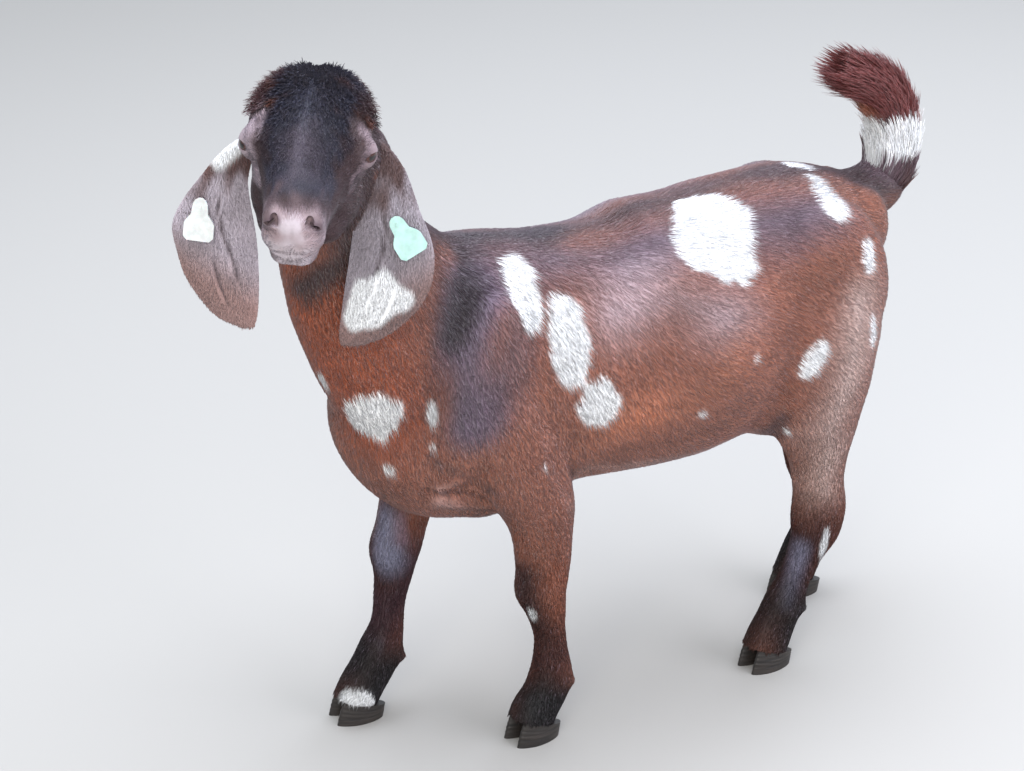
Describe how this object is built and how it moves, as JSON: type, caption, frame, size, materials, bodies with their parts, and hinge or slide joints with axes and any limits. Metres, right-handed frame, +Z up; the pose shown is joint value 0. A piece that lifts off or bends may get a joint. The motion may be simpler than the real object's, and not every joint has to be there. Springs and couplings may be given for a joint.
{
  "type": "boer goat kid, life-size still museum model",
  "caption": "A standing boer goat kid with a dappled red coat, hanging ears with blank tags, head turned to its left and tail up.",
  "frame": {"origin": "middle of the underside of the bounding box, on the ground between the feet", "axes": "+Z up, the kid faces -X, its left side is towards -Y"},
  "size_m": [0.703, 0.2692, 0.6431],
  "materials": {
    "coat": "short glossy hair",
    "ear_coat": "short soft hair",
    "eye": "wet gloss",
    "horn": "worn horn",
    "tag_plastic": "smooth matt"
  },
  "bodies": {
    "root": {"torso": "coat", "neck": "coat", "head": "coat", "tail": "coat", "foreleg_left": "coat", "foreleg_right": "coat", "hindleg_left": "coat", "hindleg_right": "coat", "ear_left": "ear_coat", "eye_left": "eye", "tag_left": "tag_plastic", "ear_right": "ear_coat", "eye_right": "eye", "tag_right": "tag_plastic", "claw_left_foreleg_left": "horn", "claw_right_foreleg_left": "horn", "claw_left_foreleg_right": "horn", "claw_right_foreleg_right": "horn", "claw_left_hindleg_left": "horn", "claw_right_hindleg_left": "horn", "claw_left_hindleg_right": "horn", "claw_right_hindleg_right": "horn"}
  },
  "joints": []
}
